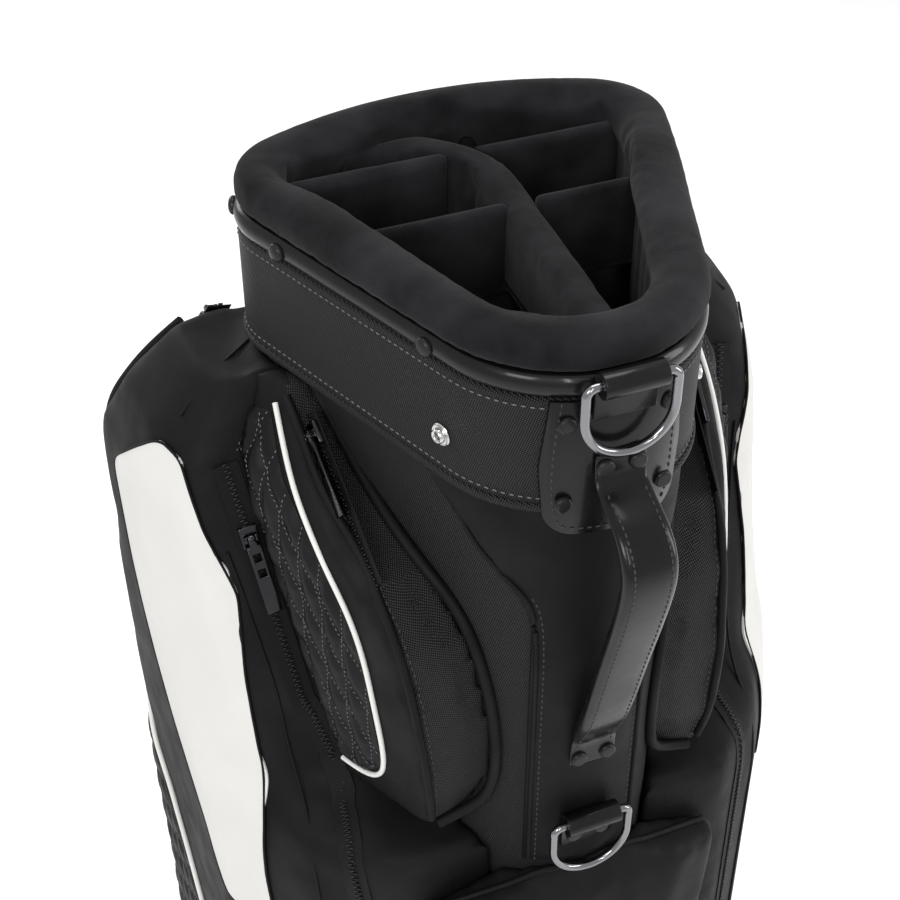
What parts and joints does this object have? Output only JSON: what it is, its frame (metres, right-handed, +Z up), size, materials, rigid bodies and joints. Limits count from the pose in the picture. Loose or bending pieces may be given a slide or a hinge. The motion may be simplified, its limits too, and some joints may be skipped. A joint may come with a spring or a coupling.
{
  "type": "golf staff bag",
  "caption": "Free-standing golf bag with a padded divided mouth, bowed carry handle, hinged D-rings and zipped side, garment, front and ball pockets.",
  "frame": {"origin": "centre of the middle foot's underside, on the plane the bag stands on", "axes": "+Z up; -Y is the spine with the carry handle, +Y is the front with the ball pocket, +X is the side with the ball and front pocket zips"},
  "size_m": [0.418, 0.4338, 0.913],
  "materials": {
    "velour": "short velour pile, black",
    "twill": "coarse ballistic twill weave, black",
    "matt_leather": "smooth synthetic leather, satin black",
    "gloss_leather": "polished synthetic leather, black",
    "quilted_leather": "diamond quilted synthetic leather, black with pale stitches",
    "white_leather": "smooth synthetic leather, warm white",
    "shell_plastic": "moulded polypropylene, black",
    "base_rubber": "moulded rubber, black",
    "rod": "plain anodised",
    "dark_chrome": "gunmetal plate",
    "black_metal": "gloss black enamel",
    "chrome": "bright nickel plate",
    "zip_chain": "moulded zip teeth, black"
  },
  "bodies": {
    "bag": {"ball_pocket": "matt_leather", "ball_zip_chain": "zip_chain", "base_cup": "base_rubber", "base_feet": "base_rubber", "body_cover": "twill", "body_shell": "shell_plastic", "carry_handle": "gloss_leather", "centre_divider": "velour", "cross_divider_front_left": "velour", "cross_divider_front_right": "velour", "cross_divider_rear_left": "velour", "cross_divider_rear_right": "velour", "cuff_band": "twill", "cuff_pad": "velour", "cuff_ring": "shell_plastic", "cuff_trim": "gloss_leather", "front_pocket": "twill", "front_zip_chain": "zip_chain", "garment_pocket_left": "matt_leather", "garment_pocket_right": "matt_leather", "garment_zip_chain_left": "zip_chain", "garment_zip_chain_right": "zip_chain", "handle_patch": "gloss_leather", "hip_pad": "matt_leather", "hood_snaps": "chrome", "hood_studs": "black_metal", "lower_ring_loop": "gloss_leather", "quilted_panel_left": "quilted_leather", "quilted_panel_right": "quilted_leather", "rivets": "black_metal", "side_pocket_left": "twill", "side_pocket_right": "twill", "side_zip_chain_left": "zip_chain", "side_zip_chain_right": "zip_chain", "spine_panel": "matt_leather", "stay_rods": "rod", "top_zip_chain_left": "zip_chain", "top_zip_chain_right": "zip_chain", "upper_ring_loop": "gloss_leather", "white_panel_left": "white_leather", "white_panel_right": "white_leather"},
    "side_zip_slider_left": {"side_zip_slider_left": "dark_chrome"},
    "side_zip_pull_left": {"side_zip_pull_left": "dark_chrome"},
    "side_zip_slider_right": {"side_zip_slider_right": "dark_chrome"},
    "side_zip_pull_right": {"side_zip_pull_right": "dark_chrome"},
    "garment_zip_slider_left": {"garment_zip_slider_left": "dark_chrome"},
    "garment_zip_pull_left": {"garment_zip_pull_left": "dark_chrome"},
    "garment_zip_slider_right": {"garment_zip_slider_right": "dark_chrome"},
    "garment_zip_pull_right": {"garment_zip_pull_right": "dark_chrome"},
    "top_zip_slider_left": {"top_zip_slider_left": "dark_chrome"},
    "top_zip_pull_left": {"top_zip_pull_left": "dark_chrome"},
    "top_zip_slider_right": {"top_zip_slider_right": "dark_chrome"},
    "top_zip_pull_right": {"top_zip_pull_right": "dark_chrome"},
    "ball_zip_slider": {"ball_zip_slider": "dark_chrome"},
    "ball_zip_pull": {"ball_zip_pull": "dark_chrome"},
    "front_zip_slider": {"front_zip_slider": "dark_chrome"},
    "front_zip_pull": {"front_zip_pull": "dark_chrome"},
    "upper_d_ring": {"upper_d_ring": "dark_chrome"},
    "lower_d_ring": {"lower_d_ring": "dark_chrome"}
  },
  "joints": [
    {"name": "side_zip_left_slide", "type": "slide", "parent": "bag", "child": "side_zip_slider_left", "axis": [0.0835, -0.779, -0.6214], "range_m": [-0.0035, 0.0845]},
    {"name": "side_zip_left_pull", "type": "hinge", "parent": "side_zip_slider_left", "child": "side_zip_pull_left", "pos_m": [-0.11788, -0.00339, 0.78206], "axis": [-0.1755, 0.6023, -0.7787], "range_deg": [0, 150]},
    {"name": "side_zip_right_slide", "type": "slide", "parent": "bag", "child": "side_zip_slider_right", "axis": [-0.0835, -0.779, -0.6214], "range_m": [-0.0035, 0.0845]},
    {"name": "side_zip_right_pull", "type": "hinge", "parent": "side_zip_slider_right", "child": "side_zip_pull_right", "pos_m": [0.11788, -0.00339, 0.78206], "axis": [-0.1755, -0.6023, 0.7787], "range_deg": [0, 150]},
    {"name": "garment_zip_left_slide", "type": "slide", "parent": "bag", "child": "garment_zip_slider_left", "axis": [0.1275, -0.345, -0.9299], "range_m": [-0.0375, 0.1035]},
    {"name": "garment_zip_left_pull", "type": "hinge", "parent": "garment_zip_slider_left", "child": "garment_zip_pull_left", "pos_m": [-0.15414, 0.005, 0.71131], "axis": [-0.9918, -0.0443, -0.1195], "range_deg": [0, 150]},
    {"name": "garment_zip_right_slide", "type": "slide", "parent": "bag", "child": "garment_zip_slider_right", "axis": [-0.1275, -0.345, -0.9299], "range_m": [-0.0375, 0.1035]},
    {"name": "garment_zip_right_pull", "type": "hinge", "parent": "garment_zip_slider_right", "child": "garment_zip_pull_right", "pos_m": [0.15414, 0.005, 0.71131], "axis": [-0.9918, 0.0443, 0.1195], "range_deg": [0, 150]},
    {"name": "top_zip_left_slide", "type": "slide", "parent": "bag", "child": "top_zip_slider_left", "axis": [-0.2739, 0.4635, -0.8427], "range_m": [-0.0035, 0.0655]},
    {"name": "top_zip_left_pull", "type": "hinge", "parent": "top_zip_slider_left", "child": "top_zip_pull_left", "pos_m": [-0.13629, 0.12847, 0.78978], "axis": [0.9618, 0.132, -0.24], "range_deg": [0, 150]},
    {"name": "top_zip_right_slide", "type": "slide", "parent": "bag", "child": "top_zip_slider_right", "axis": [0.2739, 0.4635, -0.8427], "range_m": [-0.0035, 0.0655]},
    {"name": "top_zip_right_pull", "type": "hinge", "parent": "top_zip_slider_right", "child": "top_zip_pull_right", "pos_m": [0.13629, 0.12847, 0.78978], "axis": [0.9618, -0.132, 0.24], "range_deg": [0, 150]},
    {"name": "ball_zip_slide", "type": "slide", "parent": "bag", "child": "ball_zip_slider", "axis": [0, 0, -1], "range_m": [-0.0055, 0.2575]},
    {"name": "ball_zip_pull", "type": "hinge", "parent": "ball_zip_slider", "child": "ball_zip_pull", "pos_m": [0.105, 0.246, 0.411], "axis": [1, 0, 0], "range_deg": [0, 150]},
    {"name": "front_zip_slide", "type": "slide", "parent": "bag", "child": "front_zip_slider", "axis": [0, 0, -1], "range_m": [-0.0055, 0.1475]},
    {"name": "front_zip_pull", "type": "hinge", "parent": "front_zip_slider", "child": "front_zip_pull", "pos_m": [0.062, 0.178, 0.686], "axis": [1, 0, 0], "range_deg": [0, 150]},
    {"name": "upper_d_ring_swing", "type": "hinge", "parent": "bag", "child": "upper_d_ring", "pos_m": [0, -0.1516, 0.889], "axis": [-1, 0, 0], "range_deg": [0, 160]},
    {"name": "lower_d_ring_swing", "type": "hinge", "parent": "bag", "child": "lower_d_ring", "pos_m": [0, -0.1454, 0.562], "axis": [-1, 0, 0], "range_deg": [0, 160]}
  ]
}
